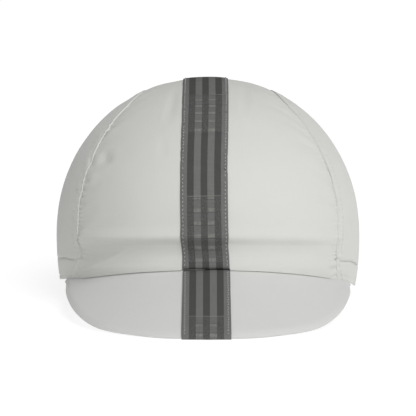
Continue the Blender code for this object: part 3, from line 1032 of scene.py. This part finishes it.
def make_ribbon_stitches(look):
    """The rows that hold the ribbon's two edges, on the crown and on the peak."""
    rows = []
    stages = even_stages(LINE_STEP, RIBBON_END_RISE)
    for side in (-1, 1):
        x = RIBBON_SHIFT + side * (RIBBON_WIDTH / 2 - RIBBON_ROW_IN)
        line = []
        for i, stage in enumerate(stages):
            bow = read_curve(RIBBON_BOW, i * LINE_STEP)
            line.append(stage_point(x + bow, stage, RIBBON_END_RISE))
        across = (x - RIBBON_SHIFT) / (RIBBON_WIDTH / 2)
        row = []
        for i, (point, along) in enumerate(evenly_along(line, RIBBON_STITCH_PITCH, 0.001)):
            bend = ribbon_bend(i * RIBBON_STITCH_PITCH, across)
            lift = RIBBON_LIFT + RIBBON_WALL + bend + THREAD * 0.1
            row.append((lifted(point, lift), along, outward(point)))
        rows.append(row)
        line = []
        for share in np.linspace(0.06, 0.98, 40):
            turn = turn_across(x + PEAK_RIBBON_SHIFT - RIBBON_SHIFT, share)
            reach = peak_reach(turn) * share
            lift = RIBBON_LIFT + RIBBON_WALL - PEAK_RIM_DROP * peak_rim(turn, reach)
            line.append(peak_point(turn, reach, lift))
        up = off_peak(0)
        places = evenly_along(line, RIBBON_STITCH_PITCH)
        rows.append([(point + up * THREAD * 0.1, along, up) for point, along in places])
    return stitches("ribbon_stitches", rows, look, RIBBON_STITCH_LENGTH, RIBBON_THREAD, RIBBON_STITCH_LEAN)


# Materials


class Wire:
    """A node's output that can be used in sums. Numbers alone stay numbers."""

    def __init__(self, sheet, socket):
        self.sheet, self.socket = sheet, socket

    def maths(self, operation, *values):
        return self.sheet.node("ShaderNodeMath", {"operation": operation}, *values)

    def __add__(self, other):
        return self.maths("ADD", self, other)

    def __sub__(self, other):
        return self.maths("SUBTRACT", self, other)

    def __rsub__(self, other):
        return self.maths("SUBTRACT", other, self)

    def __mul__(self, other):
        return self.maths("MULTIPLY", self, other)

    def __truediv__(self, other):
        return self.maths("DIVIDE", self, other)

    def wave(self, length):
        """A wave from 0 to 1 and back over that length."""
        return self.maths("SINE", self * (2 * math.pi / length)) * 0.5 + 0.5

    def between(self, low, high, soft):
        """1 where the value lies between the two, with edges that soft."""
        return self.above(low, soft) * (1 - self.above(high, soft))

    def above(self, edge, soft):
        settings = {"interpolation_type": "SMOOTHSTEP"}
        low, high = edge - soft / 2, edge + soft / 2
        return self.sheet.node("ShaderNodeMapRange", settings, self, low, high, 0.0, 1.0)

    def within(self, period):
        return self.maths("FLOORED_MODULO", self, period)


class Sheet:
    """The node sheet of one material."""

    def __init__(self, name):
        self.material = bpy.data.materials.new(name)
        self.material.use_nodes = True
        self.tree = self.material.node_tree
        self.shader = self.tree.nodes["Principled BSDF"]

    def node(self, kind, settings=None, *values, output=0, **named):
        made = self.tree.nodes.new(kind)
        for key, value in (settings or {}).items():
            setattr(made, key, value)
        for key, value in list(enumerate(values)) + list(named.items()):
            socket = made.inputs[key.replace("_", " ") if isinstance(key, str) else key]
            self.feed(socket, value)
        return Wire(self, made.outputs[output])

    def feed(self, socket, value):
        if isinstance(value, Wire):
            self.tree.links.new(value.socket, socket)
        else:
            socket.default_value = value

    def flat_place(self):
        """The place on the flat cloth: across and along, in metres."""
        spot = self.node("ShaderNodeUVMap", {"uv_map": "cloth"})
        split = self.tree.nodes.new("ShaderNodeSeparateXYZ")
        self.feed(split.inputs[0], spot)
        return Wire(self, split.outputs[0]), Wire(self, split.outputs[1])

    def place(self):
        return self.node("ShaderNodeTexCoord", output="Object")

    def stretched(self, across, along, across_size, along_size):
        return self.node("ShaderNodeCombineXYZ", None, across / across_size, along / along_size, 0.0)

    def grain(self, place, scale, detail=2.0):
        return self.node("ShaderNodeTexNoise", None, Vector=place, Scale=scale, Detail=detail)

    def mix(self, share, first, second):
        made = self.tree.nodes.new("ShaderNodeMix")
        made.data_type = "RGBA"
        self.feed(made.inputs["Factor"], share)
        self.feed(made.inputs[6], first)
        self.feed(made.inputs[7], second)
        return Wire(self, made.outputs[2])

    def finish(self, colour, roughness, height, depth, sheen, gloss=0.25):
        bump = self.node("ShaderNodeBump", None, Height=height, Distance=depth, Strength=1.0)
        self.feed(self.shader.inputs["Base Color"], colour)
        self.feed(self.shader.inputs["Roughness"], roughness)
        self.feed(self.shader.inputs["Normal"], bump)
        self.shader.inputs["Sheen Weight"].default_value = sheen
        self.shader.inputs["Sheen Roughness"].default_value = 0.6
        self.shader.inputs["Specular IOR Level"].default_value = gloss
        return self.material


COTTON = (0.615, 0.615, 0.585, 1.0)
COTTON_SHADE = (0.565, 0.565, 0.545, 1.0)
PEAK_COTTON = (0.600, 0.600, 0.588, 1.0)
PEAK_COTTON_SHADE = (0.555, 0.555, 0.545, 1.0)
COTTON_THREAD = (0.62, 0.62, 0.59, 1.0)
COTTON_THREAD_SHADE = (0.50, 0.50, 0.48, 1.0)
RIBBON_THREAD_LIGHT = (0.42, 0.42, 0.40, 1.0)
RIBBON_THREAD_SHADE = (0.27, 0.27, 0.26, 1.0)
FLOOR_LIGHT = (0.27, 0.27, 0.27, 1.0)
FLOOR_SHADE = (0.25, 0.25, 0.25, 1.0)
WARP_PITCH = 0.00032
WEFT_PITCH = 0.00038


def cotton_look(name, light, shade_colour):
    """Plain-woven cotton: fine threads both ways, thicker here and there, and a faint cloudiness."""
    sheet = Sheet(name)
    across, along = sheet.flat_place()
    warp, weft = across.wave(WARP_PITCH), along.wave(WEFT_PITCH)
    over = across.wave(2 * WARP_PITCH) * along.wave(2 * WEFT_PITCH)
    slub = sheet.grain(sheet.stretched(across, along, 0.010, 0.0006), 1.0)
    slub_up = sheet.grain(sheet.stretched(across, along, 0.0006, 0.012), 1.0)
    cloud = sheet.grain(sheet.place(), 38.0, 3.0)
    shade = slub * 0.35 + slub_up * 0.35 + cloud * 0.5 - 0.1
    colour = sheet.mix(shade, shade_colour, light)
    height = warp * 0.25 + weft * 0.25 + over * 0.25 + slub * 0.5 + slub_up * 0.4 + cloud * 1.2
    return sheet.finish(colour, slub * 0.1 + 0.80, height, 0.00005, 0.15)


def thread_look(name, colour, shade):
    sheet = Sheet(name)
    twist = sheet.grain(sheet.place(), 900.0)
    return sheet.finish(sheet.mix(twist, shade, colour), twist * 0.1 + 0.7, twist, 0.00004, 0.1)


RIBBON_LIGHT = (0.198, 0.198, 0.193, 1.0)
RIBBON_DARK = (0.084, 0.085, 0.082, 1.0)
RIBBON_BAR = (0.285, 0.285, 0.262, 1.0)
# painted shade for the hollows between the ribs; it also gives some warp threads and patches their darker
# tone
RIBBON_SHADE = (0.03, 0.03, 0.03, 1.0)
STRIPE = RIBBON_WIDTH / 7
RIB_PITCH = 0.00072
PATCH_PERIOD = 0.0764
PATCH_START = 0.0044
PATCH_END = 0.0408
PATCH_LINE = 0.0006  # width of the light line, and of the dark one, at the upper end of a patch
PEAK_PATCH_START = 0.0456
BAR_PITCH = 0.0069
BAR_HEIGHT = 0.0019


def ribbon_look(name, first_patch, line_at, line_step):
    """Ribbed ribbon with seven lengthwise stripes and patches of plain woven bars."""
    sheet = Sheet(name)
    across, along = sheet.flat_place()
    from_edge = across + RIBBON_WIDTH / 2
    in_pair = from_edge.within(2 * STRIPE)
    light = 1 - in_pair.between(STRIPE, 2 * STRIPE, 0.0003)
    inner = from_edge.between(STRIPE, 6 * STRIPE, 0.0002)
    run = (along - first_patch).within(PATCH_PERIOD)
    patch = run.between(0.0, PATCH_END - PATCH_START, 0.0003) * inner
    in_bar = (run + 0.0004).within(BAR_PITCH)
    bar = in_bar.between(0.0006, 0.0006 + BAR_HEIGHT, 0.0004)
    bar_line = in_bar.between(0.0001, 0.0005, 0.0002)
    ribs = along.wave(RIB_PITCH)
    warp = sheet.grain(sheet.stretched(across, along, 0.00035, 0.009), 1.0)
    fleck = sheet.grain(sheet.stretched(across, along, 0.00052, 0.00046), 1.0, 1.0)
    speck = fleck.above(0.54, 0.10)
    patchy = sheet.grain(sheet.stretched(across, along, 0.0013, 0.0021), 1.0, 1.0)
    worn = sheet.grain(sheet.stretched(across, along, 0.011, 0.006), 1.0, 2.0)
    light_line = run.between(line_at - PATCH_LINE / 2, line_at + PATCH_LINE / 2, 0.0002) * inner
    dark_at = line_at + line_step * PATCH_LINE
    dark_line = run.between(dark_at - PATCH_LINE / 2, dark_at + PATCH_LINE / 2, 0.0002) * inner
    bar_share = patch * light * bar * (fleck * 0.5 + patchy.above(0.44, 0.2) * 0.5)
    colour = sheet.mix(light, RIBBON_DARK, RIBBON_LIGHT)
    colour = sheet.mix(patch * (1 - light) * speck * 0.62, colour, RIBBON_LIGHT)
    colour = sheet.mix(patch * light * (1 - speck) * 0.16, colour, RIBBON_DARK)
    colour = sheet.mix(bar_share, colour, RIBBON_BAR)
    colour = sheet.mix(patch * bar_line * 0.55 + dark_line * 0.6, colour, RIBBON_DARK)
    colour = sheet.mix(light_line * 0.4, colour, RIBBON_BAR)
    # Painted shade darkens the hollows between the ribs. The darker warp streaks and patches are the
    # ribbon's own tone.
    colour = sheet.mix((1 - ribs) * 0.20 + (1 - warp) * 0.26 + (1 - worn) * 0.12, colour, RIBBON_SHADE)
    height = ribs * 0.8 + warp * 0.6 + light * 0.4 + patch * (speck * 0.5 + bar * 0.5) + worn * 0.8
    return sheet.finish(colour, light * 0.06 + warp * 0.12 + 0.62, height, 0.00009, 0.0, 0.03)


def floor_look():
    sheet = Sheet("pale_floor")
    haze = sheet.grain(sheet.place(), 3.0)
    sheet.feed(sheet.shader.inputs["Base Color"], sheet.mix(haze, FLOOR_SHADE, FLOOR_LIGHT))
    sheet.shader.inputs["Roughness"].default_value = 0.9
    sheet.shader.inputs["Emission Color"].default_value = (1.0, 1.0, 1.0, 1.0)
    sheet.shader.inputs["Emission Strength"].default_value = FLOOR_GLOW
    return sheet.material


# Studio


def add_studio():
    away = Vector((0, -math.cos(CAMERA_HEIGHT_ANGLE), math.sin(CAMERA_HEIGHT_ANGLE)))
    eye, aim = STAND @ (CAMERA_AIM + away * CAMERA_DISTANCE), STAND @ CAMERA_AIM
    data = bpy.data.cameras.new("camera")
    data.sensor_width = SENSOR
    data.lens = SENSOR * CAMERA_DISTANCE / METRES_PER_PIXEL / PICTURE_WIDTH
    camera = placed("camera", data)
    camera.location = eye
    camera.rotation_euler = (aim - eye).to_track_quat("-Z", "Y").to_euler()
    bpy.context.scene.camera = camera

    for light in STUDIO_LIGHTS:
        lamp_data = bpy.data.lights.new(light.name, "SUN")
        lamp_data.energy = light.energy
        lamp_data.angle = LIGHT_SOFTNESS
        turn, height = math.radians(light.turn), math.radians(light.height)
        level = math.cos(height)
        towards = Vector((math.sin(turn) * level, -math.cos(turn) * level, math.sin(height)))
        lamp = placed(light.name, lamp_data)
        lamp.rotation_euler = towards.to_track_quat("Z", "Y").to_euler()

    world = bpy.data.worlds.new("studio")
    world.use_nodes = True
    room = world.node_tree.nodes["Background"]
    room.inputs["Color"].default_value = (ROOM_GREY, ROOM_GREY, ROOM_GREY, 1.0)
    bpy.context.scene.world = world
    bpy.context.scene.view_settings.view_transform = "Standard"

    shape = bmesh.new()
    bmesh.ops.create_circle(shape, cap_ends=True, segments=96, radius=9.0)
    mesh = bpy.data.meshes.new("floor")
    shape.to_mesh(mesh)
    shape.free()
    mesh.materials.append(floor_look())
    floor = placed("floor", mesh)


def main():
    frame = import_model()
    cotton = cotton_look("cotton_weave", COTTON, COTTON_SHADE)
    peak_cotton = cotton_look("peak_cotton_weave", PEAK_COTTON, PEAK_COTTON_SHADE)
    thread = thread_look("cotton_thread", COTTON_THREAD, COTTON_THREAD_SHADE)
    ribbon_thread = thread_look("ribbon_thread", RIBBON_THREAD_LIGHT, RIBBON_THREAD_SHADE)
    crown_weave = ribbon_look("crown_ribbon_weave", PATCH_START, PATCH_END - PATCH_START, -1)
    peak_weave = ribbon_look("peak_ribbon_weave", PEAK_PATCH_START, 0.001, 1)
    for node in frame["nodes"].values():
        node.data.materials.clear()
        node.data.materials.append(crown_weave if "ribbon" in node.name else cotton)
    seam_line = SeamLine()
    made = [
        (make_centre_panel(seam_line, cotton), "cotton", "centre_panel"),
        (make_side_panel("side_panel_left_cotton", -1, seam_line, cotton), "cotton", "side_panel_left"),
        (make_side_panel("side_panel_right_cotton", 1, seam_line, cotton), "cotton", "side_panel_right"),
        (make_hem(seam_line, cotton), "cotton", "hem_band"),
        (make_peak(peak_cotton), "cotton", "peak"),
        (make_crown_ribbon(crown_weave), "ribbon", "crown_ribbon"),
        (make_peak_ribbon(peak_weave), "ribbon", "peak_ribbon"),
        (make_seam_stitches(-1, seam_line, thread), "cotton", None),
        (make_seam_stitches(1, seam_line, thread), "cotton", None),
        (make_hem_stitches(seam_line, thread), "cotton", None),
        (make_ribbon_stitches(ribbon_thread), "ribbon", None),
    ]
    for piece, slot, node in made:
        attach(piece, "root")
        if node:
            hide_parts(node)
    add_studio()


main()
